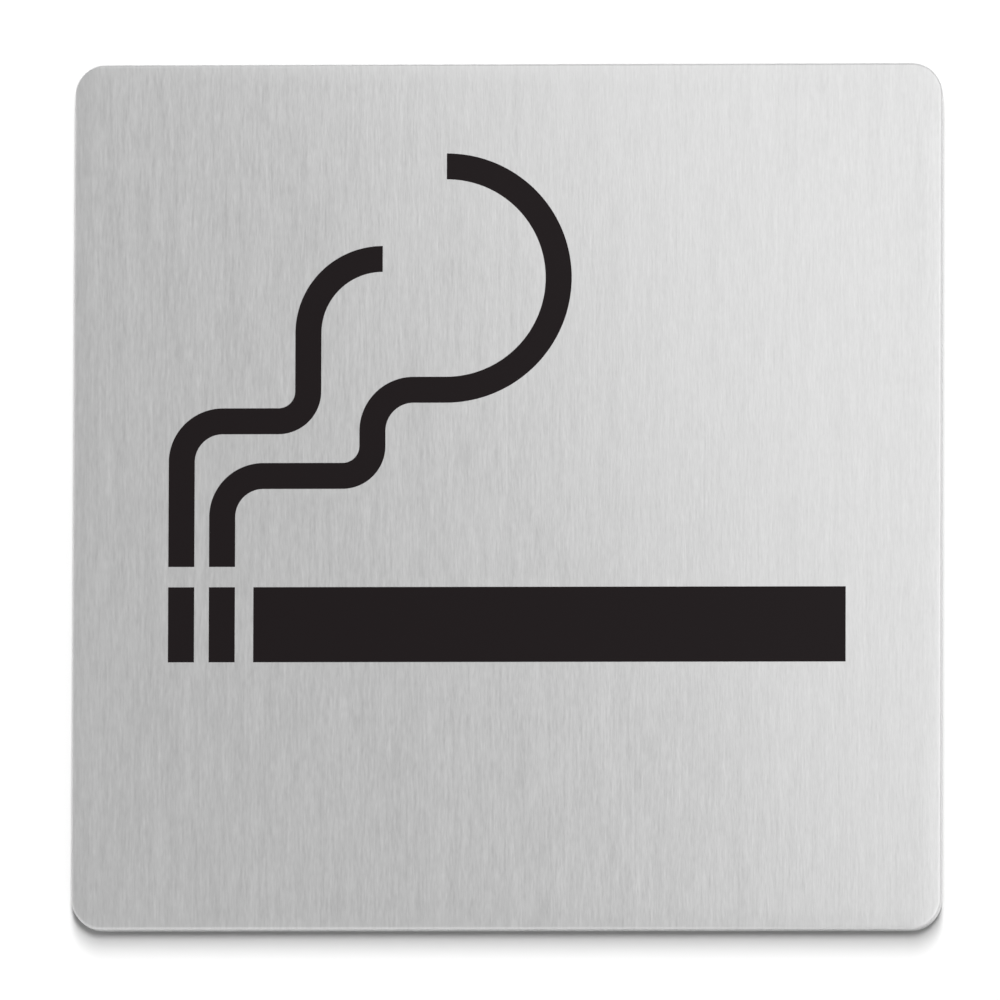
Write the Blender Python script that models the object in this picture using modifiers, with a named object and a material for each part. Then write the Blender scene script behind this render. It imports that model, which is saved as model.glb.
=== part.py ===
"""Smoking permitted sign: a square of brushed stainless steel with a black inlaid pictogram.

The sign lies on its back, as it would on a bench. Its face looks up along +Z, and the top
of the pictogram lies towards +Y. The origin is under the middle of the sign, on the surface
that it lies on. All lengths are in metres and all angles in degrees.
"""

import math

import bmesh
import bpy

# Steel plate
PLATE_SIDE = 0.085
PLATE_THICKNESS = 0.003
PLATE_CORNER_RADIUS = 0.003
PLATE_EDGE_RADIUS = 0.0003

# Etched pictogram: what its five fields share
STROKE_WIDTH = 0.00254
ETCH_DEPTH = 0.0004
ENAMEL_CLEARANCE = 0.00005
ENAMEL_BELOW_FACE = 0.00003

# Cigarette: two ember bars and one long bar, in a row that is centred across the plate
CIGARETTE_SIDE_MARGIN = 0.00935
CIGARETTE_TOP_MARGIN = 0.05145
CIGARETTE_HEIGHT = 0.00736
EMBER_GAP = 0.00145
CIGARETTE_GAP = 0.00182

# Smoke: each wisp starts above its ember bar, and its radii are those of its middle line
SMOKE_GAP = 0.00201
WIDE_BEND_RADIUS = 0.00402
TIGHT_BEND_RADIUS = 0.00292
LEFT_WISP_RISE = 0.01028
LEFT_WISP_RUN = 0.00543
LEFT_WISP_CLIMB = 0.00578
LEFT_WISP_HOOK_RADIUS = 0.00725
RIGHT_WISP_RISE = 0.0049
RIGHT_WISP_RUN = 0.00775
RIGHT_WISP_CLIMB = 0.00151
RIGHT_WISP_LEDGE = 0.00319
RIGHT_WISP_HOOK_RADIUS = 0.01099

# Two strips of foam tape on the back, each with its release liner still on
TAPE_WIDTH = 0.019
TAPE_THICKNESS = 0.0008
TAPE_SIDE_INSET = 0.009
TAPE_END_INSET = 0.0075
LINER_THICKNESS = 0.0001
LINER_TAB = 0.004
LINER_CORNER_RADIUS = 0.0012
LAYER_CLEARANCE = 0.0001

# How finely curves are cut into straight steps, and what counts as flat, smooth or one point
ARC_STEP = 5.0
EDGE_SEGMENTS = 4
FLAT_BELOW = 0.5
SMOOTH_BELOW = 30.0
WELD_DISTANCE = 0.000001

# How far a cutter stands out of the face that it cuts
CUTTER_OVERSHOOT = 0.001

SIGN_NAME = "smoking_permitted_sign"
QUARTER_TURN = 90.0
HALF_TURN = 180.0

# Heights of the layers, from the surface that the sign lies on
LINER_TOP = LINER_THICKNESS
TAPE_BOTTOM = LINER_TOP + LAYER_CLEARANCE
TAPE_TOP = TAPE_BOTTOM + TAPE_THICKNESS
PLATE_BOTTOM = TAPE_TOP + LAYER_CLEARANCE
PLATE_TOP = PLATE_BOTTOM + PLATE_THICKNESS


def clear_scene():
    """Removes every object that the file starts with."""
    for thing in list(bpy.data.objects):
        bpy.data.objects.remove(thing, do_unlink=True)


def new_collection(name):
    """A collection of that name, linked to the scene."""
    collection = bpy.data.collections.new(name)
    bpy.context.scene.collection.children.link(collection)
    return collection


def principled(name, colour, metallic, roughness):
    """A material with one Principled BSDF. The colour is linear red, green and blue."""
    material = bpy.data.materials.new(name)
    material.use_nodes = True
    shader = material.node_tree.nodes["Principled BSDF"]
    shader.inputs["Base Color"].default_value = (*colour, 1.0)
    shader.inputs["Metallic"].default_value = metallic
    shader.inputs["Roughness"].default_value = roughness
    material.diffuse_color = (*colour, 1.0)
    return material


def arc(centre, radius, start, turn):
    """Points on an arc about the centre, from the start angle through the turn."""
    steps = max(1, round(abs(turn) / ARC_STEP))
    points = []
    for step in range(steps + 1):
        angle = math.radians(start + turn * step / steps)
        points.append((centre[0] + radius * math.cos(angle), centre[1] + radius * math.sin(angle)))
    return points


def rounded_rectangle(left, right, bottom, top, radius):
    """Outline of a rectangle with round corners, anticlockwise from its lower right."""
    outline = arc((right - radius, bottom + radius), radius, -QUARTER_TURN, QUARTER_TURN)
    outline += arc((right - radius, top - radius), radius, 0.0, QUARTER_TURN)
    outline += arc((left + radius, top - radius), radius, QUARTER_TURN, QUARTER_TURN)
    outline += arc((left + radius, bottom + radius), radius, HALF_TURN, QUARTER_TURN)
    return outline


def rectangle(left, right, bottom, top):
    """Outline of a rectangle with square corners, anticlockwise from its lower right."""
    return [(right, bottom), (right, top), (left, top), (left, bottom)]


class Stroke:
    """A line of even width that is drawn by going straight ahead and turning along arcs."""

    def __init__(self, x, y):
        """Starts at a point, heading up the sign."""
        self.stations = [(x, y, QUARTER_TURN)]

    def ahead(self, length):
        """Goes straight on."""
        x, y, heading = self.stations[-1]
        angle = math.radians(heading)
        self.stations.append((x + length * math.cos(angle), y + length * math.sin(angle), heading))
        return self

    def bend(self, radius, turn):
        """Follows an arc. A positive turn goes to the left and a negative one to the right."""
        x, y, heading = self.stations[-1]
        side = math.copysign(1.0, turn)
        to_centre = math.radians(heading + side * QUARTER_TURN)
        centre = (x + radius * math.cos(to_centre), y + radius * math.sin(to_centre))
        start = heading - side * QUARTER_TURN
        points = arc(centre, radius, start, turn)
        steps = len(points) - 1
        for step, (px, py) in enumerate(points[1:], start=1):
            self.stations.append((px, py, heading + turn * step / steps))
        return self

    def outline(self, inset):
        """Closed outline of the stroke, drawn in from its true edge by the inset."""
        stations = list(self.stations)
        for end, side in ((0, 1.0), (-1, -1.0)):
            x, y, heading = stations[end]
            angle = math.radians(heading)
            back = side * inset
            stations[end] = (x + back * math.cos(angle), y + back * math.sin(angle), heading)
        half = STROKE_WIDTH / 2.0 - inset
        right_side = []
        left_side = []
        for x, y, heading in stations:
            across = math.radians(heading - QUARTER_TURN)
            dx = half * math.cos(across)
            dy = half * math.sin(across)
            right_side.append((x + dx, y + dy))
            left_side.append((x - dx, y - dy))
        return right_side + left_side[::-1]


def slab(name, outline, bottom, top, collection):
    """A closed mesh with the given outline, from one height to another.

    The outline is filled and extruded as a flat curve, and the curve is then made a mesh
    whose caps are welded to its walls and left as one face each.
    """
    curve = bpy.data.curves.new(name + "_outline", "CURVE")
    curve.dimensions = "2D"
    curve.fill_mode = "BOTH"
    curve.extrude = (top - bottom) / 2.0
    spline = curve.splines.new("POLY")
    spline.points.add(len(outline) - 1)
    for point, (x, y) in zip(spline.points, outline):
        point.co = (x, y, 0.0, 1.0)
    spline.use_cyclic_u = True
    drawn = bpy.data.objects.new(name + "_outline", curve)
    drawn.location.z = (bottom + top) / 2.0
    collection.objects.link(drawn)
    bpy.context.view_layer.update()

    evaluated = drawn.evaluated_get(bpy.context.evaluated_depsgraph_get())
    mesh = bpy.data.meshes.new_from_object(evaluated)
    mesh.name = name
    solid = bpy.data.objects.new(name, mesh)
    solid.matrix_world = drawn.matrix_world.copy()
    collection.objects.link(solid)
    bpy.data.objects.remove(drawn, do_unlink=True)
    bpy.data.curves.remove(curve)

    shape = bmesh.new()
    shape.from_mesh(mesh)
    bmesh.ops.remove_doubles(shape, verts=shape.verts, dist=WELD_DISTANCE)
    bmesh.ops.dissolve_limit(
        shape, angle_limit=math.radians(FLAT_BELOW), verts=shape.verts, edges=shape.edges
    )
    bmesh.ops.recalc_face_normals(shape, faces=shape.faces)
    shape.to_mesh(mesh)
    shape.free()
    mesh.shade_smooth()
    mesh.set_sharp_from_angle(angle=math.radians(SMOOTH_BELOW))
    return solid


def dress(solid, material):
    """Gives a solid its only material."""
    solid.data.materials.clear()
    solid.data.materials.append(material)


def cigarette_outlines(inset):
    """Outlines of the two ember bars and of the cigarette, by the names of their fields."""
    left = -PLATE_SIDE / 2.0 + CIGARETTE_SIDE_MARGIN
    right = PLATE_SIDE / 2.0 - CIGARETTE_SIDE_MARGIN
    top = PLATE_SIDE / 2.0 - CIGARETTE_TOP_MARGIN
    bottom = top - CIGARETTE_HEIGHT
    second = left + STROKE_WIDTH + EMBER_GAP
    third = second + STROKE_WIDTH + CIGARETTE_GAP
    spans = {
        "ember_bar_left": (left, left + STROKE_WIDTH),
        "ember_bar_right": (second, second + STROKE_WIDTH),
        "cigarette_bar": (third, right),
    }
    return {
        name: rectangle(start + inset, end - inset, bottom + inset, top - inset)
        for name, (start, end) in spans.items()
    }


def smoke_outlines(inset):
    """Outlines of the two wisps of smoke, by the names of their fields."""
    foot = PLATE_SIDE / 2.0 - CIGARETTE_TOP_MARGIN + SMOKE_GAP
    left_x = -PLATE_SIDE / 2.0 + CIGARETTE_SIDE_MARGIN + STROKE_WIDTH / 2.0
    right_x = left_x + STROKE_WIDTH + EMBER_GAP

    left_wisp = Stroke(left_x, foot)
    left_wisp.ahead(LEFT_WISP_RISE).bend(WIDE_BEND_RADIUS, -QUARTER_TURN)
    left_wisp.ahead(LEFT_WISP_RUN).bend(TIGHT_BEND_RADIUS, QUARTER_TURN)
    left_wisp.ahead(LEFT_WISP_CLIMB).bend(LEFT_WISP_HOOK_RADIUS, -QUARTER_TURN)

    right_wisp = Stroke(right_x, foot)
    right_wisp.ahead(RIGHT_WISP_RISE).bend(WIDE_BEND_RADIUS, -QUARTER_TURN)
    right_wisp.ahead(RIGHT_WISP_RUN).bend(TIGHT_BEND_RADIUS, QUARTER_TURN)
    right_wisp.ahead(RIGHT_WISP_CLIMB).bend(WIDE_BEND_RADIUS, -QUARTER_TURN)
    right_wisp.ahead(RIGHT_WISP_LEDGE).bend(RIGHT_WISP_HOOK_RADIUS, HALF_TURN)

    return {
        "smoke_wisp_left": left_wisp.outline(inset),
        "smoke_wisp_right": right_wisp.outline(inset),
    }


def pictogram_outlines(inset):
    """Outlines of all five fields of the pictogram, drawn in from their true edges."""
    return {**cigarette_outlines(inset), **smoke_outlines(inset)}


def make_plate(collection, cutters, steel):
    """The plate, with its edges eased and a shallow pocket etched for each field."""
    half = PLATE_SIDE / 2.0
    outline = rounded_rectangle(-half, half, -half, half, PLATE_CORNER_RADIUS)
    plate = slab("sign_plate", outline, PLATE_BOTTOM, PLATE_TOP, collection)
    dress(plate, steel)

    eased = plate.modifiers.new("eased_edges", "BEVEL")
    eased.width = PLATE_EDGE_RADIUS
    eased.segments = EDGE_SEGMENTS
    eased.limit_method = "ANGLE"
    eased.angle_limit = math.radians(SMOOTH_BELOW)

    for name, field in pictogram_outlines(0.0).items():
        cutter = slab(
            name + "_cutter", field, PLATE_TOP - ETCH_DEPTH, PLATE_TOP + CUTTER_OVERSHOOT, cutters
        )
        cutter.hide_render = True
        cutter.display_type = "WIRE"
        etched = plate.modifiers.new("etched_" + name, "BOOLEAN")
        etched.operation = "DIFFERENCE"
        etched.solver = "EXACT"
        etched.object = cutter


def make_enamel(collection, enamel):
    """The five enamel fills, each seated in its pocket and levelled just under the face."""
    floor = PLATE_TOP - ETCH_DEPTH + ENAMEL_CLEARANCE
    surface = PLATE_TOP - ENAMEL_BELOW_FACE
    for name, field in pictogram_outlines(ENAMEL_CLEARANCE).items():
        dress(slab(name, field, floor, surface, collection), enamel)


def make_tapes(collection, foam, liner_film):
    """The two tape strips on the back and their liners, one of each on either side."""
    end = PLATE_SIDE / 2.0 - TAPE_END_INSET
    outer = PLATE_SIDE / 2.0 - TAPE_SIDE_INSET
    inner = outer - TAPE_WIDTH
    for side, left, right in (("left", -outer, -inner), ("right", inner, outer)):
        strip = rectangle(left, right, -end, end)
        dress(slab("tape_strip_" + side, strip, TAPE_BOTTOM, TAPE_TOP, collection), foam)
        cover = rounded_rectangle(left, right, -end - LINER_TAB, end, LINER_CORNER_RADIUS)
        dress(slab("tape_liner_" + side, cover, 0.0, LINER_TOP, collection), liner_film)


def make_sign():
    """Builds the whole sign."""
    clear_scene()
    parts = new_collection(SIGN_NAME)
    cutters = new_collection(SIGN_NAME + "_cutters")

    steel = principled("brushed_stainless_steel", (0.62, 0.62, 0.61), 1.0, 0.34)
    enamel = principled("black_enamel", (0.018, 0.016, 0.016), 0.0, 0.45)
    foam = principled("white_foam_tape", (0.72, 0.72, 0.69), 0.0, 0.85)
    liner_film = principled("release_liner", (0.56, 0.47, 0.27), 0.0, 0.5)

    make_plate(parts, cutters, steel)
    make_enamel(parts, enamel)
    make_tapes(parts, foam, liner_film)


make_sign()
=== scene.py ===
"""Looks of a smoking permitted sign: brushed stainless steel with a black enamel pictogram.

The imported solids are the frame. Each class below builds one sub-assembly of the sign round
them, in metres, and each finish is a material named for what the real surface is.
"""

import logging
import math
from collections.abc import Callable, Iterable, Sequence
from dataclasses import dataclass, field
from enum import Enum

import bmesh
import bpy
from mathutils import Matrix, Vector


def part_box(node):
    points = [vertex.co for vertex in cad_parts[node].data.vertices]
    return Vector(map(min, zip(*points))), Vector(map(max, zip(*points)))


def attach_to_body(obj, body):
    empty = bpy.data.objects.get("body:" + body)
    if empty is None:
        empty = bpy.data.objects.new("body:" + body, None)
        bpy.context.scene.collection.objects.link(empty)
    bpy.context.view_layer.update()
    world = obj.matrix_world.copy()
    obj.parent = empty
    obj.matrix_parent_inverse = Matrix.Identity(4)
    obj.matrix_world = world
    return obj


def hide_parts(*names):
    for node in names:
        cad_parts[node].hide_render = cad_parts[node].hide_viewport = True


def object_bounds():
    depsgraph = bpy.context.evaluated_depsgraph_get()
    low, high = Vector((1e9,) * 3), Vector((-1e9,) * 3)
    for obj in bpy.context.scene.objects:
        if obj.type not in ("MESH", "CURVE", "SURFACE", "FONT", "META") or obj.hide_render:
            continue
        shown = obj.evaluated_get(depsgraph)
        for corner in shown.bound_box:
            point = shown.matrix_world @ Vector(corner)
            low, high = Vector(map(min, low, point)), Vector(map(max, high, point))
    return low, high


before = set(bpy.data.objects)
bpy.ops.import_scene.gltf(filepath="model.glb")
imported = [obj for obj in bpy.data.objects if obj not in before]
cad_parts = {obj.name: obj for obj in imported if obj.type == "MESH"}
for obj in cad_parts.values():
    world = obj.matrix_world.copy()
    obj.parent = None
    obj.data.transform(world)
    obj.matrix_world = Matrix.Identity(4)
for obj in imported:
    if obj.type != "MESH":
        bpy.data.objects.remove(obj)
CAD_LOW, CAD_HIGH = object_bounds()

log = logging.getLogger("sign")

MM = 0.001
MICRON = 0.000001
ROOT_BODY = "root"
GRAIN_MAP = "grain"
BAKE_MAP = "OFBake"
ROW_MARGIN = 0.05
FLAT_FACE_WEIGHT = 100

Point = tuple[float, float]
Ring = list[bmesh.types.BMVert]
Faces = list[bmesh.types.BMFace]
Outline = Callable[[float], list[Point]]


class Slot(Enum):
    """Names for the sign's four materials, which the script does not use."""

    STEEL = "brushed_stainless_steel"
    ENAMEL = "black_enamel"
    FOAM = "foam_tape"
    LINER = "release_liner"


class Hand(Enum):
    """The side that something lies on, or turns to, as the sign is read."""

    LEFT = 1.0
    RIGHT = -1.0


class PlateZone(Enum):
    """The parts of the plate's surface, in the order of its materials."""

    FACE = 0
    EDGE = 1
    BACK = 2
    RECESS = 3


def linear(code: str) -> tuple[float, float, float, float]:
    """Turns an sRGB hex colour into the linear colour that a shader takes.

    Args:
        code: Six hex digits, with or without a leading hash sign.

    Returns:
        Linear red, green and blue, and an alpha of one.
    """
    digits = code.lstrip("#")
    channels = []
    for start in (0, 2, 4):
        value = int(digits[start : start + 2], 16) / 255.0
        channels.append(value / 12.92 if value <= 0.04045 else ((value + 0.055) / 1.055) ** 2.4)
    return channels[0], channels[1], channels[2], 1.0


def add_node(
    tree: bpy.types.NodeTree,
    kind: str,
    settings: dict[str, object] | None = None,
    inputs: dict[str | int, object] | None = None,
) -> bpy.types.Node:
    """Adds a node with its settings and links.

    Args:
        tree: The node tree to add to.
        kind: The node's type name.
        settings: Properties of the node, by name.
        inputs: Inputs by name or number. A socket is linked, and anything else is set.

    Returns:
        The new node.
    """
    node = tree.nodes.new(kind)
    for name, value in (settings or {}).items():
        setattr(node, name, value)
    for key, value in (inputs or {}).items():
        if isinstance(value, bpy.types.NodeSocket):
            tree.links.new(value, node.inputs[key])
        else:
            node.inputs[key].default_value = value
    return node


def blank_material(name: str) -> tuple[bpy.types.Material, bpy.types.NodeTree]:
    """Makes a material with an empty node tree.

    Args:
        name: The material's name.

    Returns:
        The material and its node tree.
    """
    material = bpy.data.materials.new(name)
    material.use_nodes = True
    material.node_tree.nodes.clear()
    return material, material.node_tree


@dataclass(frozen=True)
class GrainLayer:
    """One set of lines in a brushed or rolled surface, with its real sizes in millimetres."""

    width_mm: float
    length_mm: float
    weight: float


@dataclass(frozen=True)
class GrainedSteel:
    """Austenitic stainless sheet, such as grade 304, with lines that run one way.

    The lines are read from the grain map, whose first axis runs across them and whose
    second runs along them, in millimetres. They change the colour and the gloss a little
    and tilt the surface by fractions of a degree. The gloss is given no direction of its
    own, because not every viewer of the exported model would keep it.
    """

    name: str
    dark: str
    light: str
    roughness: float
    roughness_swing: float
    relief_um: float
    layers: tuple[GrainLayer, ...]

    def grain(self, tree: bpy.types.NodeTree) -> bpy.types.NodeSocket:
        """Sums the layers of lines.

        Args:
            tree: The node tree to add to.

        Returns:
            A value that swings about one half.
        """
        place = add_node(tree, "ShaderNodeUVMap", {"uv_map": GRAIN_MAP}).outputs["UV"]
        # Each layer swings about one half, so this start brings their sum back there
        total: float | bpy.types.NodeSocket = 0.5 - 0.5 * sum(
            layer.weight for layer in self.layers
        )
        for layer in self.layers:
            stretched = add_node(
                tree,
                "ShaderNodeMapping",
                inputs={0: place, "Scale": (1.0 / layer.width_mm, 1.0 / layer.length_mm, 1.0)},
            )
            lines = add_node(
                tree,
                "ShaderNodeTexNoise",
                {"noise_dimensions": "2D"},
                {"Vector": stretched.outputs[0], "Scale": 1.0, "Detail": 2.0, "Roughness": 0.6},
            )
            total = add_node(
                tree,
                "ShaderNodeMath",
                {"operation": "MULTIPLY_ADD"},
                {0: lines.outputs[0], 1: layer.weight, 2: total},
            ).outputs[0]
        return total

    def material(self) -> bpy.types.Material:
        """Builds the material.

        Returns:
            The material.
        """
        material, tree = blank_material(self.name)
        grain = self.grain(tree)
        colour = add_node(
            tree,
            "ShaderNodeMix",
            {"data_type": "RGBA"},
            {0: grain, 6: linear(self.dark), 7: linear(self.light)},
        )
        gloss = add_node(
            tree,
            "ShaderNodeMapRange",
            inputs={
                "Value": grain,
                "To Min": self.roughness - self.roughness_swing,
                "To Max": self.roughness + self.roughness_swing,
            },
        )
        relief = add_node(
            tree,
            "ShaderNodeBump",
            inputs={"Height": grain, "Strength": 1.0, "Distance": self.relief_um * MICRON},
        )
        shader = add_node(
            tree,
            "ShaderNodeBsdfPrincipled",
            inputs={
                "Base Color": colour.outputs[2],
                "Metallic": 1.0,
                "Roughness": gloss.outputs[0],
                "Normal": relief.outputs[0],
            },
        )
        add_node(tree, "ShaderNodeOutputMaterial", inputs={"Surface": shader.outputs["BSDF"]})
        return material


# Satin brushed with a fine belt: short bright and dark hairlines on a soft, even grey sheen.
# Real ones are 0.02 to 0.05 mm wide, finer than a picture or a baked map of the whole sign can
# hold, so they are drawn coarser here.
SATIN_BRUSHED_FACE = GrainedSteel(
    name="satin_brushed_stainless_steel",
    dark="#C4C4C4",
    light="#D6D6D6",
    roughness=0.41,
    roughness_swing=0.08,
    relief_um=8.0,
    layers=(
        GrainLayer(width_mm=0.2, length_mm=0.9, weight=0.65),
        GrainLayer(width_mm=0.24, length_mm=2.6, weight=0.75),
        GrainLayer(width_mm=0.45, length_mm=6.0, weight=0.5),
        GrainLayer(width_mm=1.1, length_mm=16.0, weight=0.35),
        GrainLayer(width_mm=2.4, length_mm=40.0, weight=0.25),
    ),
)

# Blanked from the sheet and deburred: fine marks run through the thickness and break up the gloss
BLANKED_EDGE = GrainedSteel(
    name="blanked_stainless_steel_edge",
    dark="#B4B4B4",
    light="#D8D8D8",
    roughness=0.3,
    roughness_swing=0.05,
    relief_um=5.0,
    layers=(
        GrainLayer(width_mm=0.11, length_mm=3.0, weight=0.7),
        GrainLayer(width_mm=0.26, length_mm=5.0, weight=0.5),
        GrainLayer(width_mm=1.2, length_mm=8.0, weight=0.3),
    ),
)

# Left as it was cold rolled: a smooth, slightly milky grey with faint rolling lines
ROLLED_BACK = GrainedSteel(
    name="cold_rolled_stainless_steel_back",
    dark="#BDBDBB",
    light="#CBCBC9",
    roughness=0.3,
    roughness_swing=0.03,
    relief_um=0.8,
    layers=(
        GrainLayer(width_mm=0.5, length_mm=9.0, weight=0.5),
        GrainLayer(width_mm=3.0, length_mm=30.0, weight=0.5),
    ),
)


@dataclass(frozen=True)
class EtchedSteel:
    """Stainless steel that acid has eaten into: dull and evenly pitted, so it looks darker."""

    name: str = "etched_stainless_steel"
    colour: str = "#8E8E8E"
    roughness: float = 0.62
    pit_mm: float = 0.08
    relief_um: float = 4.0

    def material(self) -> bpy.types.Material:
        """Builds the material.

        Returns:
            The material.
        """
        material, tree = blank_material(self.name)
        place = add_node(tree, "ShaderNodeTexCoord").outputs["Object"]
        pits = add_node(
            tree,
            "ShaderNodeTexNoise",
            inputs={"Vector": place, "Scale": 1.0 / (self.pit_mm * MM), "Detail": 3.0},
        )
        relief = add_node(
            tree,
            "ShaderNodeBump",
            inputs={"Height": pits.outputs[0], "Distance": self.relief_um * MICRON},
        )
        shader = add_node(
            tree,
            "ShaderNodeBsdfPrincipled",
            inputs={
                "Base Color": linear(self.colour),
                "Metallic": 1.0,
                "Roughness": self.roughness,
                "Normal": relief.outputs[0],
            },
        )
        add_node(tree, "ShaderNodeOutputMaterial", inputs={"Surface": shader.outputs["BSDF"]})
        return material


@dataclass(frozen=True)
class BakedEnamel:
    """Black enamel paint baked in its recess: a flat, satin near-black with a trace of warmth.

    Its skin has a very faint orange peel, and its gloss varies a little where it lay thicker.
    """

    name: str = "black_baked_enamel"
    colour: str = "#110D0E"
    roughness: float = 0.42
    roughness_swing: float = 0.05
    specular: float = 0.09
    peel_mm: float = 0.9
    peel_relief_um: float = 1.2
    cloud_mm: float = 9.0

    def material(self) -> bpy.types.Material:
        """Builds the material.

        Returns:
            The material.
        """
        material, tree = blank_material(self.name)
        place = add_node(tree, "ShaderNodeTexCoord").outputs["Object"]
        peel = add_node(
            tree,
            "ShaderNodeTexNoise",
            inputs={"Vector": place, "Scale": 1.0 / (self.peel_mm * MM), "Detail": 1.0},
        )
        cloud = add_node(
            tree,
            "ShaderNodeTexNoise",
            inputs={"Vector": place, "Scale": 1.0 / (self.cloud_mm * MM), "Detail": 2.0},
        )
        relief = add_node(
            tree,
            "ShaderNodeBump",
            inputs={"Height": peel.outputs[0], "Distance": self.peel_relief_um * MICRON},
        )
        gloss = add_node(
            tree,
            "ShaderNodeMapRange",
            inputs={
                "Value": cloud.outputs[0],
                "To Min": self.roughness - self.roughness_swing,
                "To Max": self.roughness + self.roughness_swing,
            },
        )
        shader = add_node(
            tree,
            "ShaderNodeBsdfPrincipled",
            inputs={
                "Base Color": linear(self.colour),
                "Roughness": gloss.outputs[0],
                "Specular IOR Level": self.specular,
                "Normal": relief.outputs[0],
            },
        )
        add_node(tree, "ShaderNodeOutputMaterial", inputs={"Surface": shader.outputs["BSDF"]})
        return material


@dataclass(frozen=True)
class PolyethyleneFoam:
    """White closed-cell polyethylene foam: matt and cut through its bubbles, whose hollows are
    painted darker as painted shade.
    """

    name: str = "white_polyethylene_foam"
    colour: str = "#E2E1DC"
    # Painted shade: the colour that the hollows of the cut bubbles are darkened to, not a colour
    # of the foam itself
    painted_bubble_shade: str = "#B9B8B2"
    roughness: float = 0.8
    cell_mm: float = 0.22
    relief_um: float = 45.0

    def material(self) -> bpy.types.Material:
        """Builds the material.

        Returns:
            The material.
        """
        material, tree = blank_material(self.name)
        place = add_node(tree, "ShaderNodeTexCoord").outputs["Object"]
        cells = add_node(
            tree,
            "ShaderNodeTexVoronoi",
            {"feature": "F1"},
            {"Vector": place, "Scale": 1.0 / (self.cell_mm * MM)},
        )
        # This mask paints shade into the bubble hollows and also gives them their sunken relief
        shade = add_node(
            tree,
            "ShaderNodeMapRange",
            inputs={"Value": cells.outputs["Distance"], "From Min": 0.1, "From Max": 0.7},
        )
        colour = add_node(
            tree,
            "ShaderNodeMix",
            {"data_type": "RGBA"},
            {0: shade.outputs[0], 6: linear(self.painted_bubble_shade), 7: linear(self.colour)},
        )
        relief = add_node(
            tree,
            "ShaderNodeBump",
            inputs={"Height": shade.outputs[0], "Distance": self.relief_um * MICRON},
        )
        shader = add_node(
            tree,
            "ShaderNodeBsdfPrincipled",
            inputs={
                "Base Color": colour.outputs[2],
                "Roughness": self.roughness,
                "Normal": relief.outputs[0],
            },
        )
        add_node(tree, "ShaderNodeOutputMaterial", inputs={"Surface": shader.outputs["BSDF"]})
        return material


@dataclass(frozen=True)
class GlassinePaper:
    """Silicone coated glassine: a dense yellow-brown paper with a smooth, slightly waxy shine."""

    name: str = "silicone_coated_glassine_paper"
    light: str = "#D6BC86"
    dark: str = "#C2A468"
    roughness: float = 0.38
    coat: float = 0.3
    fibre_mm: float = 0.12
    cloud_mm: float = 0.9
    relief_um: float = 4.0

    def material(self) -> bpy.types.Material:
        """Builds the material.

        Returns:
            The material.
        """
        material, tree = blank_material(self.name)
        place = add_node(tree, "ShaderNodeTexCoord").outputs["Object"]
        cloud = add_node(
            tree,
            "ShaderNodeTexNoise",
            inputs={"Vector": place, "Scale": 1.0 / (self.cloud_mm * MM), "Detail": 4.0},
        )
        fibres = add_node(
            tree,
            "ShaderNodeTexNoise",
            inputs={"Vector": place, "Scale": 1.0 / (self.fibre_mm * MM), "Detail": 3.0},
        )
        colour = add_node(
            tree,
            "ShaderNodeMix",
            {"data_type": "RGBA"},
            {0: cloud.outputs[0], 6: linear(self.dark), 7: linear(self.light)},
        )
        relief = add_node(
            tree,
            "ShaderNodeBump",
            inputs={"Height": fibres.outputs[0], "Distance": self.relief_um * MICRON},
        )
        shader = add_node(
            tree,
            "ShaderNodeBsdfPrincipled",
            inputs={
                "Base Color": colour.outputs[2],
                "Roughness": self.roughness,
                "Coat Weight": self.coat,
                "Normal": relief.outputs[0],
            },
        )
        add_node(tree, "ShaderNodeOutputMaterial", inputs={"Surface": shader.outputs["BSDF"]})
        return material


@dataclass(frozen=True)
class StudioPaper:
    """Uncoated paper that the sign lies on: matt, with a fine tooth, and white under the lamps."""

    name: str = "white_studio_paper"
    colour: str = "#C6C6C6"
    tooth_mm: float = 0.4
    relief_um: float = 4.0

    def material(self) -> bpy.types.Material:
        """Builds the material.

        Returns:
            The material.
        """
        material, tree = blank_material(self.name)
        place = add_node(tree, "ShaderNodeTexCoord").outputs["Object"]
        tooth = add_node(
            tree,
            "ShaderNodeTexNoise",
            inputs={"Vector": place, "Scale": 1.0 / (self.tooth_mm * MM), "Detail": 2.0},
        )
        relief = add_node(
            tree,
            "ShaderNodeBump",
            inputs={"Height": tooth.outputs[0], "Distance": self.relief_um * MICRON},
        )
        paper = add_node(
            tree,
            "ShaderNodeBsdfDiffuse",
            inputs={"Color": linear(self.colour), "Normal": relief.outputs[0]},
        )
        add_node(tree, "ShaderNodeOutputMaterial", inputs={"Surface": paper.outputs[0]})
        return material


def arc(centre: Point, radius: float, start: float, turn: float, step: float) -> list[Point]:
    """Finds points on an arc.

    Args:
        centre: The arc's centre.
        radius: Its radius.
        start: The angle of the first point, in radians.
        turn: How far the arc goes on from there, anticlockwise if positive.
        step: About how far apart the points are, in radians.

    Returns:
        The points from one end to the other.
    """
    count = max(1, round(abs(turn) / step))
    angles = [start + turn * number / count for number in range(count + 1)]
    return [(centre[0] + radius * math.cos(a), centre[1] + radius * math.sin(a)) for a in angles]


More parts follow.
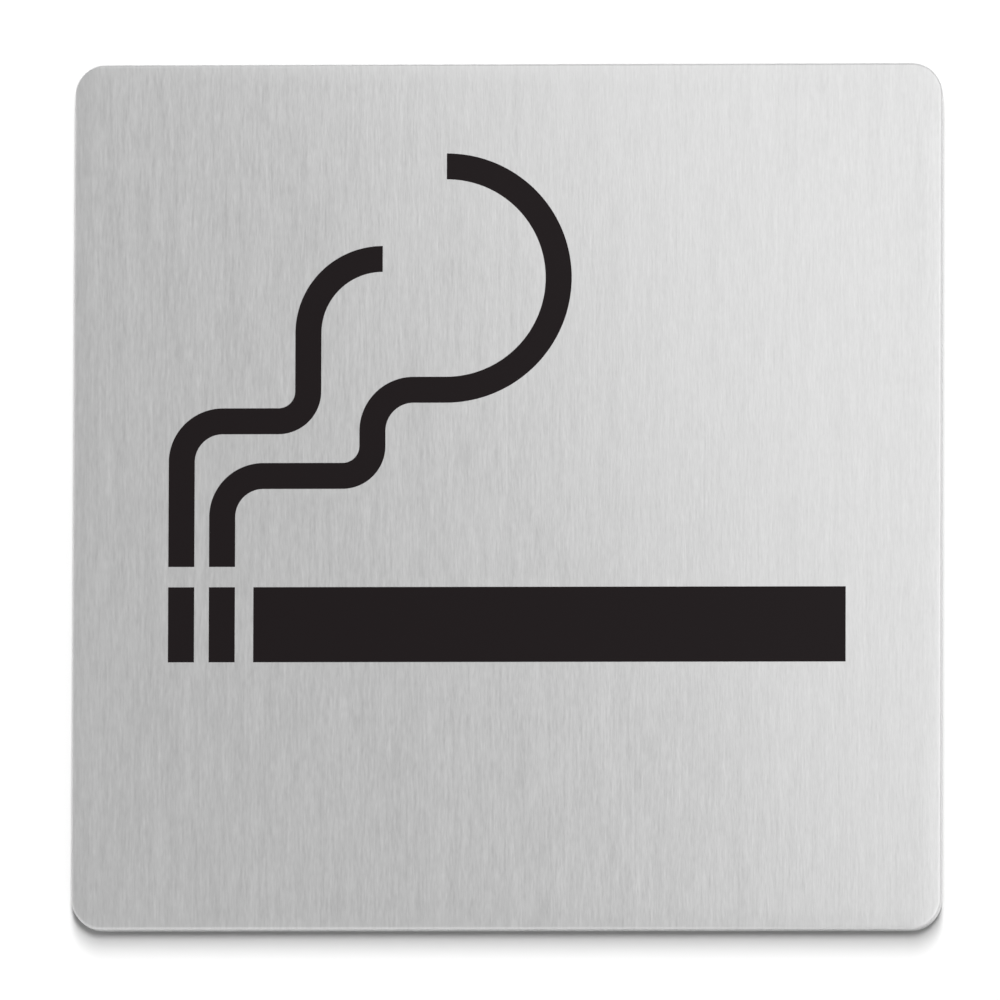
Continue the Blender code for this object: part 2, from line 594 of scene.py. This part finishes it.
@dataclass
class Pen:
    """Draws a stroke of even width through straight stretches and tangent arcs."""

    x: float
    y: float
    width: float
    step: float = math.radians(1.5)
    stations: list[tuple[float, float, float]] = field(default_factory=list)

    def __post_init__(self) -> None:
        """Sets the pen down, heading up the sign."""
        self.stations.append((self.x, self.y, math.pi / 2.0))

    def ahead(self, length: float) -> "Pen":
        """Draws straight on.

        Args:
            length: How far.

        Returns:
            The pen, for the next move.
        """
        x, y, heading = self.stations[-1]
        self.stations.append(
            (x + length * math.cos(heading), y + length * math.sin(heading), heading)
        )
        return self

    def bend(self, radius: float, hand: Hand, turn: float = math.pi / 2.0) -> "Pen":
        """Draws an arc that leaves the last stretch without a kink.

        Args:
            radius: The radius of the stroke's middle line.
            hand: The side that the pen turns to.
            turn: How far it turns, in radians.

        Returns:
            The pen, for the next move.
        """
        x, y, heading = self.stations[-1]
        side = hand.value * math.pi / 2.0
        centre = (x + radius * math.cos(heading + side), y + radius * math.sin(heading + side))
        signed = hand.value * turn
        points = arc(centre, radius, heading - side, signed, self.step)
        for number, (px, py) in enumerate(points[1:], start=1):
            self.stations.append((px, py, heading + signed * number / (len(points) - 1)))
        return self

    def outline(self, inset: float) -> list[Point]:
        """Finds the stroke's closed outline.

        Args:
            inset: How far inside the stroke's true edge the outline lies.

        Returns:
            Its points, anticlockwise.
        """
        stations = list(self.stations)
        for end, way in ((0, 1.0), (-1, -1.0)):
            x, y, heading = stations[end]
            back = way * inset
            stations[end] = (x + back * math.cos(heading), y + back * math.sin(heading), heading)
        half = self.width / 2.0 - inset
        right = [(x + half * math.sin(h), y - half * math.cos(h)) for x, y, h in stations]
        left = [(x - half * math.sin(h), y + half * math.cos(h)) for x, y, h in stations]
        return right + left[::-1]


@dataclass(frozen=True)
class Bar:
    """A rectangular field of the pictogram."""

    left: float
    right: float
    bottom: float
    top: float

    def outline(self, inset: float) -> list[Point]:
        """Finds the bar's closed outline.

        Args:
            inset: How far inside the bar's true edge the outline lies.

        Returns:
            Its four corners, anticlockwise.
        """
        left, right = self.left + inset, self.right - inset
        bottom, top = self.bottom + inset, self.top - inset
        return [(right, bottom), (right, top), (left, top), (left, bottom)]


@dataclass(frozen=True)
class RoundedBox:
    """The outline of a rectangle with round corners."""

    low: Point
    high: Point
    radius: float
    step: float = math.radians(3.0)

    def outline(self, inset: float) -> list[Point]:
        """Finds the closed outline.

        Args:
            inset: How far inside the true edge the outline lies.

        Returns:
            Its points, anticlockwise from the lower end of the right side.
        """
        r = self.radius
        quarter = math.pi / 2.0
        points: list[Point] = []
        corners = (
            (self.high[0] - r, self.low[1] + r),
            (self.high[0] - r, self.high[1] - r),
            (self.low[0] + r, self.high[1] - r),
            (self.low[0] + r, self.low[1] + r),
        )
        for number, corner in enumerate(corners):
            points += arc(corner, r - inset, (number - 1) * quarter, quarter, self.step)
        return points


@dataclass(frozen=True)
class MapPatch:
    """A rectangle of a UV map, which is mirrored if its left is greater than its right."""

    left: float
    bottom: float
    right: float
    top: float

    def spot(self, across: float, up: float) -> Point:
        """Finds a place on the map.

        Args:
            across: The share of the patch's width, from its left.
            up: The share of its height, from its bottom.

        Returns:
            The place.
        """
        return (
            self.left + (self.right - self.left) * across,
            self.bottom + (self.top - self.bottom) * up,
        )


class MeshMaker:
    """Builds one mesh from rings that are joined by walls and closed by flat caps.

    Every face gets a material number and its place on the grain map in millimetres. A piece
    may also lay its faces out on a bake map, where fine lines need more room than Blender's
    own layout would give them.
    """

    def __init__(self, name: str, has_bake_map: bool = False) -> None:
        """Starts an empty mesh.

        Args:
            name: The name of the piece.
            has_bake_map: Whether the piece lays out all its faces on a bake map.
        """
        self.name = name
        self.shape = bmesh.new()
        layers = self.shape.loops.layers.uv
        self.grain = layers.new(GRAIN_MAP)
        if has_bake_map:
            self.bake = layers.new(BAKE_MAP)
            # A second layer moves the first, which has to be fetched again
            self.grain = layers[GRAIN_MAP]

    def ring(self, outline: Sequence[Point], height: float) -> Ring:
        """Adds a ring of vertices.

        Args:
            outline: The places of its vertices.
            height: Their height.

        Returns:
            The vertices.
        """
        return [self.shape.verts.new((x, y, height)) for x, y in outline]

    def wall(self, rings: Sequence[Ring], zone: int = 0) -> Faces:
        """Joins each ring to the next with a band of faces.

        The faces look outwards if the rings run anticlockwise and are given from the
        bottom up, and inwards if they are given from the top down.

        Args:
            rings: Rings with the same number of vertices.
            zone: The material number of the faces.

        Returns:
            The new faces.
        """
        made = []
        along = [0.0]
        for one, other in zip(rings[0], rings[0][1:] + rings[0][:1]):
            along.append(along[-1] + (other.co - one.co).length / MM)
        up = 0.0
        count = len(rings[0])
        for lower, upper in zip(rings, rings[1:]):
            rise = max((b.co - a.co).length for a, b in zip(lower, upper)) / MM
            for here in range(count):
                there = (here + 1) % count
                face = self.shape.faces.new(
                    (lower[here], lower[there], upper[there], upper[here])
                )
                made.append(face)
                face.material_index = zone
                face.smooth = True
                spots = (
                    (along[here], up),
                    (along[here + 1], up),
                    (along[here + 1], up + rise),
                    (along[here], up + rise),
                )
                for loop, spot in zip(face.loops, spots):
                    loop[self.grain].uv = spot
            up += rise
        return made

    def cap(self, rings: Iterable[Ring], up: bool, zone: int = 0) -> Faces:
        """Closes the flat space inside the first ring and round any others.

        Args:
            rings: The outer ring, then the ring of each hole.
            up: Whether the cap looks up.
            zone: The material number of its faces.

        Returns:
            The new faces.
        """
        edges = []
        for ring in rings:
            for pair in zip(ring, ring[1:] + ring[:1]):
                edges.append(self.shape.edges.get(pair) or self.shape.edges.new(pair))
        filled = bmesh.ops.triangle_fill(
            self.shape, edges=edges, use_beauty=True, normal=Vector((0.0, 0.0, 1.0))
        )
        made = [item for item in filled["geom"] if isinstance(item, bmesh.types.BMFace)]
        for face in made:
            face.normal_update()
            if (face.normal.z > 0.0) != up:
                face.normal_flip()
            face.material_index = zone
            face.smooth = True
        self.grain_from_above(made)
        return made

    def grain_from_above(self, faces: Iterable[bmesh.types.BMFace]) -> None:
        """Runs the grain straight over faces, as it is seen from above.

        Args:
            faces: The faces to change.
        """
        for face in faces:
            for loop in face.loops:
                loop[self.grain].uv = (loop.vert.co.x / MM, loop.vert.co.y / MM)

    def bake_from_above(self, faces: Iterable[bmesh.types.BMFace], patch: MapPatch) -> None:
        """Lays faces on the bake map as they are seen from above.

        Args:
            faces: The faces to lay out.
            patch: The part of the map that the whole piece would fill.
        """
        xs = [vert.co.x for vert in self.shape.verts]
        ys = [vert.co.y for vert in self.shape.verts]
        left, bottom = min(xs), min(ys)
        wide, deep = max(xs) - left, max(ys) - bottom
        for face in faces:
            for loop in face.loops:
                place = loop.vert.co
                loop[self.bake].uv = patch.spot((place.x - left) / wide, (place.y - bottom) / deep)

    def bake_unrolled(self, faces: Faces, patch: MapPatch, rows: int) -> None:
        """Lays a wall on the bake map as a strip that is cut into rows.

        Args:
            faces: The faces of the wall, which still have the wall's grain.
            patch: The part of the map to fill.
            rows: The number of rows.
        """
        spots = [loop[self.grain].uv for face in faces for loop in face.loops]
        length = max(spot.x for spot in spots)
        height = max(spot.y for spot in spots)
        for face in faces:
            middle = sum(loop[self.grain].uv.x for loop in face.loops) / len(face.loops)
            row = min(rows - 1, int(middle / length * rows))
            for loop in face.loops:
                along, up = loop[self.grain].uv
                share = (row + ROW_MARGIN + (1.0 - 2.0 * ROW_MARGIN) * up / height) / rows
                loop[self.bake].uv = patch.spot(along / length * rows - row, share)

    def finish(self, materials: Sequence[bpy.types.Material], sharp: float) -> bpy.types.Object:
        """Makes the object.

        Args:
            materials: Its materials, in the order of the material numbers.
            sharp: The angle between faces past which an edge is sharp, in radians.

        Returns:
            The object, linked to the scene.
        """
        mesh = bpy.data.meshes.new(self.name)
        self.shape.to_mesh(mesh)
        self.shape.free()
        for material in materials:
            mesh.materials.append(material)
        mesh.set_sharp_from_angle(angle=sharp)
        piece = bpy.data.objects.new(self.name, mesh)
        bpy.context.scene.collection.objects.link(piece)
        return piece


def attach(piece: bpy.types.Object, node: str) -> None:
    """Puts a piece in the place of a solid, on the sign's only body, and reports it.

    Args:
        piece: The finished piece.
        node: The solid that it stands for.
    """
    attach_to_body(piece, ROOT_BODY)
    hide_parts(node)
    log.info("%s: %d faces, in place of %s", piece.name, len(piece.data.polygons), node)


def weigh_normals(piece: bpy.types.Object) -> None:
    """Keeps big flat faces flat where a small curved one joins them.

    Args:
        piece: The piece to give the modifier.
    """
    weighted = piece.modifiers.new("flat_faces_stay_flat", "WEIGHTED_NORMAL")
    weighted.keep_sharp = True
    weighted.weight = FLAT_FACE_WEIGHT


@dataclass
class Pictogram:
    """A burning cigarette: a long bar, two ember bars and two wisps of smoke in black enamel."""

    stroke: float = 2.54 * MM
    side_margin: float = 9.35 * MM
    top_margin: float = 51.45 * MM
    height: float = 7.36 * MM
    ember_gap: float = 1.45 * MM
    cigarette_gap: float = 1.82 * MM
    smoke_gap: float = 2.01 * MM
    wide_bend: float = 4.02 * MM
    tight_bend: float = 2.92 * MM
    left_rise: float = 10.28 * MM
    left_run: float = 5.43 * MM
    left_climb: float = 5.78 * MM
    left_hook: float = 7.25 * MM
    right_rise: float = 4.9 * MM
    right_run: float = 7.75 * MM
    right_climb: float = 1.51 * MM
    right_ledge: float = 3.19 * MM
    right_hook: float = 10.99 * MM
    etch_depth: float = 0.4 * MM
    wall_gap: float = 0.002 * MM
    # Insets from the recess's wall, and how far under the face the enamel lies at each
    meniscus: tuple[Point, ...] = (
        (0.002 * MM, 0.014 * MM),
        (0.03 * MM, 0.022 * MM),
        (0.08 * MM, 0.027 * MM),
        (0.18 * MM, 0.03 * MM),
    )
    sharp_past: float = math.radians(40.0)
    finish: BakedEnamel = BakedEnamel()

    def fields(self) -> dict[str, Outline]:
        """Lays out the five fields on the plate.

        Returns:
            A function for each field, by its node's name, that gives its outline at an inset.
        """
        low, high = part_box("sign_plate")
        top = high.y - self.top_margin
        first = low.x + self.side_margin
        second = first + self.stroke + self.ember_gap
        third = second + self.stroke + self.cigarette_gap
        bottom = top - self.height
        foot = top + self.smoke_gap
        half = self.stroke / 2.0

        left_wisp = Pen(first + half, foot, self.stroke)
        left_wisp.ahead(self.left_rise).bend(self.wide_bend, Hand.RIGHT)
        left_wisp.ahead(self.left_run).bend(self.tight_bend, Hand.LEFT)
        left_wisp.ahead(self.left_climb).bend(self.left_hook, Hand.RIGHT)

        right_wisp = Pen(second + half, foot, self.stroke)
        right_wisp.ahead(self.right_rise).bend(self.wide_bend, Hand.RIGHT)
        right_wisp.ahead(self.right_run).bend(self.tight_bend, Hand.LEFT)
        right_wisp.ahead(self.right_climb).bend(self.wide_bend, Hand.RIGHT)
        right_wisp.ahead(self.right_ledge).bend(self.right_hook, Hand.LEFT, math.pi)

        return {
            "ember_bar_left": Bar(first, first + self.stroke, bottom, top).outline,
            "ember_bar_right": Bar(second, second + self.stroke, bottom, top).outline,
            "cigarette_bar": Bar(third, high.x - self.side_margin, bottom, top).outline,
            "smoke_wisp_left": left_wisp.outline,
            "smoke_wisp_right": right_wisp.outline,
        }

    def build(self) -> None:
        """Fills each etched field with enamel that climbs a little at its edges."""
        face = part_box("sign_plate")[1].z
        enamel = self.finish.material()
        for node, outline in self.fields().items():
            maker = MeshMaker(node + "_enamel")
            floor = maker.ring(outline(self.wall_gap), face - self.etch_depth + self.wall_gap)
            surface = [maker.ring(outline(inset), face - drop) for inset, drop in self.meniscus]
            maker.wall([floor, *surface])
            maker.cap([surface[-1]], up=True)
            maker.cap([floor], up=False)
            piece = maker.finish([enamel], self.sharp_past)
            weigh_normals(piece)
            attach(piece, node)


@dataclass
class SteelPlate:
    """The plate: brushed face, blanked edge, rolled back and a recess for each enamel field."""

    corner_radius: float = 3.0 * MM
    edge_radius: float = 0.3 * MM
    shoulder_width: float = 1.8 * MM
    shoulder_slope: float = 0.09
    edge_steps: int = 9
    brushed_steps: int = 6
    shoulder_steps: int = 10
    flat_band: float = 0.15 * MM
    recess_chamfer: float = 0.012 * MM
    face_patch: MapPatch = MapPatch(0.005, 0.335, 0.995, 0.995)
    back_patch: MapPatch = MapPatch(0.495, 0.035, 0.005, 0.325)
    sides_patch: MapPatch = MapPatch(0.505, 0.035, 0.995, 0.325)
    sides_rows: int = 4
    first_pit_bottom: float = 0.002
    pit_height: float = 0.0056
    sharp_past: float = math.radians(35.0)
    face_finish: GrainedSteel = SATIN_BRUSHED_FACE
    edge_finish: GrainedSteel = BLANKED_EDGE
    back_finish: GrainedSteel = ROLLED_BACK
    recess_finish: EtchedSteel = EtchedSteel()

    def profile(self, bottom: float, top: float) -> list[tuple[float, float]]:
        """Finds the section of the plate's edge, from the back up to the brushed shoulder.

        Args:
            bottom: The height of the back.
            top: The height of the face.

        Returns:
            Insets and heights.
        """
        r = self.edge_radius
        sag = self.shoulder_width * self.shoulder_slope / 2.0
        tilt = math.atan(self.shoulder_slope)
        section = []
        for number in range(self.edge_steps + 1):
            angle = math.pi / 2.0 * (number / self.edge_steps - 1.0)
            section.append((r - r * math.cos(angle), bottom + r + r * math.sin(angle)))
        for number in range(self.edge_steps + 1):
            angle = (math.pi / 2.0 - tilt) * number / self.edge_steps
            section.append((r - r * math.cos(angle), top - sag - r + r * math.sin(angle)))
        return section

    def shoulder(self, start: float, top: float) -> list[tuple[float, float]]:
        """Finds the section of the shoulder, where the brushing has worn the face down a little.

        Args:
            start: The inset at which the rounded edge ends.
            top: The height of the face.

        Returns:
            Insets and heights, from the rounded edge inwards.
        """
        section = []
        for number in range(1, self.shoulder_steps + 1):
            left = 1.0 - number / self.shoulder_steps
            drop = self.shoulder_width * self.shoulder_slope / 2.0 * left**2
            section.append((start + self.shoulder_width * (1.0 - left), top - drop))
        return section

    def build(self, fields: dict[str, Outline], etch_depth: float) -> None:
        """Builds the plate.

        Args:
            fields: The outline of each recess, as a function of its inset.
            etch_depth: The depth of the recesses.
        """
        low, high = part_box("sign_plate")
        box = RoundedBox((low.x, low.y), (high.x, high.y), self.corner_radius)
        maker = MeshMaker("brushed_plate", has_bake_map=True)

        edge = self.profile(low.z, high.z)
        shoulder = self.shoulder(edge[-1][0], high.z)
        rim = [maker.ring(box.outline(inset), z) for inset, z in edge + shoulder]
        brushed = len(edge) - 1 - self.brushed_steps
        sides = maker.wall(rim[: brushed + 1], PlateZone.EDGE.value)
        face = maker.wall(rim[brushed:], PlateZone.FACE.value)
        inner = maker.ring(box.outline(self.edge_radius + self.flat_band), low.z)
        back = maker.wall([inner, rim[0]], PlateZone.BACK.value)
        back += maker.cap([inner], up=False, zone=PlateZone.BACK.value)

        border = maker.ring(box.outline(shoulder[-1][0] + self.flat_band), high.z)
        face += maker.wall([rim[-1], border], PlateZone.FACE.value)
        mouths = []
        pits = []
        for outline in fields.values():
            mouth = maker.ring(outline(-self.recess_chamfer), high.z)
            lip = maker.ring(outline(0.0), high.z - self.recess_chamfer)
            floor = maker.ring(outline(0.0), high.z - etch_depth)
            pits.append(maker.wall([mouth, lip, floor], PlateZone.RECESS.value))
            face += maker.cap([floor], up=True, zone=PlateZone.RECESS.value)
            mouths.append(mouth)
        face += maker.cap([border, *mouths], up=True, zone=PlateZone.FACE.value)

        maker.grain_from_above(face + back)
        maker.bake_from_above(face, self.face_patch)
        maker.bake_from_above(back, self.back_patch)
        maker.bake_unrolled(sides, self.sides_patch, self.sides_rows)
        for number, pit in enumerate(pits):
            bottom = self.first_pit_bottom + self.pit_height * number
            top = bottom + self.pit_height
            strip = MapPatch(self.face_patch.left, bottom, self.face_patch.right, top)
            maker.bake_unrolled(pit, strip, rows=1)

        finishes = (self.face_finish, self.edge_finish, self.back_finish, self.recess_finish)
        piece = maker.finish([finish.material() for finish in finishes], self.sharp_past)
        weigh_normals(piece)
        attach(piece, "sign_plate")


@dataclass
class TapeStrip:
    """A strip of foam tape on the back of the plate, with its release liner still on."""

    hand: Hand
    bulge: float = 0.06 * MM
    bulge_steps: int = 6
    trim_radius: float = 0.25 * MM
    trim_step: float = math.radians(15.0)
    liner_corner: float = 1.2 * MM
    tab_lift: float = 0.35 * MM
    liner_rows: int = 60
    foam_sharp_past: float = math.radians(50.0)
    liner_sharp_past: float = math.radians(40.0)
    foam: PolyethyleneFoam = PolyethyleneFoam()
    paper: GlassinePaper = GlassinePaper()

    def build(self) -> None:
        """Builds the strip and its liner."""
        self.build_foam()
        self.build_liner()

    def build_foam(self) -> None:
        """Builds the foam, from the liner up to the plate, with its cut sides bulging a little."""
        node = "tape_strip_" + self.hand.name.lower()
        low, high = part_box(node)
        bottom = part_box("tape_liner_" + self.hand.name.lower())[1].z
        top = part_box("sign_plate")[0].z
        box = RoundedBox(
            (low.x + self.bulge, low.y + self.bulge),
            (high.x - self.bulge, high.y - self.bulge),
            self.trim_radius,
            self.trim_step,
        )
        maker = MeshMaker("foam_" + node)
        rings = []
        for number in range(self.bulge_steps + 1):
            part = number / self.bulge_steps
            out = self.bulge * math.sin(math.pi * part)
            rings.append(maker.ring(box.outline(-out), bottom + (top - bottom) * part))
        maker.wall(rings)
        maker.cap([rings[-1]], up=True)
        maker.cap([rings[0]], up=False)
        piece = maker.finish([self.foam.material()], self.foam_sharp_past)
        attach(piece, node)

    def build_liner(self) -> None:
        """Builds the liner as a ribbon that lies flat and lifts a little along its free tab."""
        node = "tape_liner_" + self.hand.name.lower()
        low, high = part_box(node)
        tape_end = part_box("tape_strip_" + self.hand.name.lower())[0].y
        thickness = high.z - low.z
        maker = MeshMaker("paper_" + node)
        tops: list[Ring] = []
        bottoms: list[Ring] = []
        for number in range(self.liner_rows + 1):
            part = 0.5 - 0.5 * math.cos(math.pi * number / self.liner_rows)
            y = high.y + (low.y - high.y) * part
            away = min(high.y - y, y - low.y, self.liner_corner)
            missing = self.liner_corner - away
            cut = self.liner_corner - math.sqrt(max(0.0, self.liner_corner**2 - missing**2))
            free = max(0.0, tape_end - y) / (tape_end - low.y)
            z = low.z + self.tab_lift * free**2
            row = [(low.x + cut, y), (high.x - cut, y)]
            tops.append(maker.ring(row, z + thickness))
            bottoms.append(maker.ring(row, z))
        faces = maker.shape.faces
        for (ta, tb), (tc, td), (ba, bb), (bc, bd) in zip(tops, tops[1:], bottoms, bottoms[1:]):
            faces.new((ta, tc, td, tb))
            faces.new((ba, bb, bd, bc))
            faces.new((ta, ba, bc, tc))
            faces.new((tb, td, bd, bb))
        faces.new((tops[0][0], tops[0][1], bottoms[0][1], bottoms[0][0]))
        faces.new((tops[-1][0], bottoms[-1][0], bottoms[-1][1], tops[-1][1]))
        for face in faces:
            face.smooth = True
        maker.grain_from_above(faces)
        piece = maker.finish([self.paper.material()], self.liner_sharp_past)
        attach(piece, node)


@dataclass
class SoftPanel:
    """A flat, soft studio lamp that shines at a point."""

    name: str
    place: tuple[float, float, float]
    aim: tuple[float, float, float]
    width: float
    depth: float
    radiance: float
    roll: float = 0.0
    on_paper: bool = True
    on_metal: bool = True

    def build(self) -> None:
        """Makes the lamp."""
        lamp = bpy.data.lights.new(self.name, "AREA")
        lamp.shape = "RECTANGLE"
        lamp.size = self.width
        lamp.size_y = self.depth
        lamp.energy = self.radiance * math.pi * self.width * self.depth
        holder = bpy.data.objects.new(self.name, lamp)
        bpy.context.scene.collection.objects.link(holder)
        back = (Vector(self.place) - Vector(self.aim)).normalized()
        turn = back.to_track_quat("Z", "Y").to_matrix().to_4x4()
        holder.matrix_world = (
            Matrix.Translation(self.place) @ turn @ Matrix.Rotation(self.roll, 4, "Z")
        )
        holder.visible_camera = False
        holder.visible_diffuse = self.on_paper
        holder.visible_glossy = self.on_metal


@dataclass
class Studio:
    """A table of white paper under a pale dome and soft panels."""

    floor_size: float = 6.0
    floor_gap: float = 0.01 * MM
    dome_level: float = 0.815
    dome_lean: tuple[float, float, float] = (0.14, -0.12, 0.3)
    dome_gap: float = 0.475
    dome_gap_power: float = 4.0
    dome_on_paper: float = 0.54
    paper: StudioPaper = StudioPaper()
    panels: tuple[SoftPanel, ...] = (
        # Hangs almost overhead, and draws the dark line where the sign meets the paper
        SoftPanel(
            name="overhead_strip",
            place=(0.12, 0.185, 2.0),
            aim=(0.12, 0.185, 0.0),
            width=0.16,
            depth=0.3,
            radiance=168.0,
            on_metal=False,
        ),
        # Reaches on beyond the top of the sign, and lets its short shadow fade out downwards
        SoftPanel(
            name="back_strip",
            place=(0.06, 0.893, 2.0),
            aim=(0.06, 0.893, 0.0),
            width=0.3,
            depth=1.116,
            radiance=43.0,
            on_metal=False,
        ),
        # Hangs close over the upper right, and brightens the metal from lower left to there
        SoftPanel(
            name="close_panel",
            place=(0.166, 0.065, 0.105),
            aim=(0.166, 0.065, 0.0),
            width=0.34,
            depth=0.34,
            radiance=0.61,
            roll=math.radians(24.6),
            on_paper=False,
        ),
    )

    def build(self) -> None:
        """Lays the paper, sets the world and hangs the lamps."""
        mesh = bpy.data.meshes.new("studio_paper")
        shape = bmesh.new()
        bmesh.ops.create_grid(shape, x_segments=2, y_segments=2, size=self.floor_size / 2.0)
        shape.to_mesh(mesh)
        shape.free()
        mesh.materials.append(self.paper.material())
        floor = bpy.data.objects.new("studio_paper", mesh)
        bpy.context.scene.collection.objects.link(floor)
        floor.location.z = CAD_LOW.z - self.floor_gap
        self.build_world()
        for panel in self.panels:
            panel.build()

    def build_world(self) -> None:
        """Sets a dome that leans to one side, with a soft dark gap overhead.

        The face mirrors the gap. To the camera itself the dome is white, and it is dimmed for
        the paper, which the lamps light.
        """
        world = bpy.data.worlds.new("studio_dome")
        bpy.context.scene.world = world
        world.use_nodes = True
        tree = world.node_tree
        tree.nodes.clear()
        direction = add_node(tree, "ShaderNodeTexCoord").outputs["Generated"]
        lean = add_node(
            tree,
            "ShaderNodeVectorMath",
            {"operation": "DOT_PRODUCT"},
            {0: direction, 1: self.dome_lean},
        ).outputs["Value"]
        level = add_node(
            tree, "ShaderNodeMath", {"operation": "ADD"}, {0: lean, 1: self.dome_level}
        ).outputs[0]
        height = add_node(tree, "ShaderNodeSeparateXYZ", inputs={0: direction}).outputs[2]
        overhead = add_node(
            tree, "ShaderNodeMath", {"operation": "POWER"}, {0: height, 1: self.dome_gap_power}
        ).outputs[0]
        level = add_node(
            tree,
            "ShaderNodeMath",
            {"operation": "MULTIPLY_ADD"},
            {0: overhead, 1: -self.dome_gap, 2: level},
        ).outputs[0]
        path = add_node(tree, "ShaderNodeLightPath")
        dimmed = add_node(
            tree, "ShaderNodeMath", {"operation": "MULTIPLY"}, {0: level, 1: self.dome_on_paper}
        ).outputs[0]
        level = add_node(
            tree,
            "ShaderNodeMix",
            {"data_type": "FLOAT"},
            {0: path.outputs["Is Diffuse Ray"], 2: level, 3: dimmed},
        ).outputs[0]
        strength = add_node(
            tree,
            "ShaderNodeMix",
            {"data_type": "FLOAT"},
            {0: path.outputs["Is Camera Ray"], 2: level, 3: 1.0},
        )
        sky = add_node(
            tree,
            "ShaderNodeBackground",
            inputs={"Color": linear("#FFFFFF"), "Strength": strength.outputs[0]},
        )
        add_node(tree, "ShaderNodeOutputWorld", inputs={"Surface": sky.outputs[0]})


@dataclass
class PhotoCamera:
    """A long lens that looks straight down on the sign, a little from its lower right."""

    tilt_right: float = math.radians(3.0)
    tilt_down: float = math.radians(5.5)
    roll: float = math.radians(0.185)
    distance: float = 2.25
    lens_mm: float = 828.4
    nearest: float = 0.1
    farthest: float = 20.0
    aim: Point = (-0.68 * MM, -0.42 * MM)

    def build(self) -> None:
        """Makes the scene's camera."""
        data = bpy.data.cameras.new("photo_camera")
        data.lens = self.lens_mm
        data.clip_start = self.nearest
        data.clip_end = self.farthest
        camera = bpy.data.objects.new("photo_camera", data)
        bpy.context.scene.collection.objects.link(camera)
        back = Vector((math.tan(self.tilt_right), -math.tan(self.tilt_down), 1.0)).normalized()
        right = Vector((0.0, 1.0, 0.0)).cross(back).normalized()
        up = back.cross(right)
        turn = Matrix((right, up, back)).transposed().to_4x4()
        target = Vector((*self.aim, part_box("sign_plate")[1].z))
        camera.matrix_world = (
            Matrix.Translation(target + back * self.distance)
            @ turn
            @ Matrix.Rotation(self.roll, 4, "Z")
        )
        bpy.context.scene.camera = camera


def main() -> None:
    """Builds the camera, the sign and the studio."""
    logging.basicConfig(level=logging.INFO, format="%(name)s %(message)s")
    PhotoCamera().build()
    pictogram = Pictogram()
    SteelPlate().build(pictogram.fields(), pictogram.etch_depth)
    pictogram.build()
    for hand in Hand:
        TapeStrip(hand).build()
    Studio().build()
    bpy.context.scene.view_settings.view_transform = "Standard"


if __name__ == "__main__":
    main()
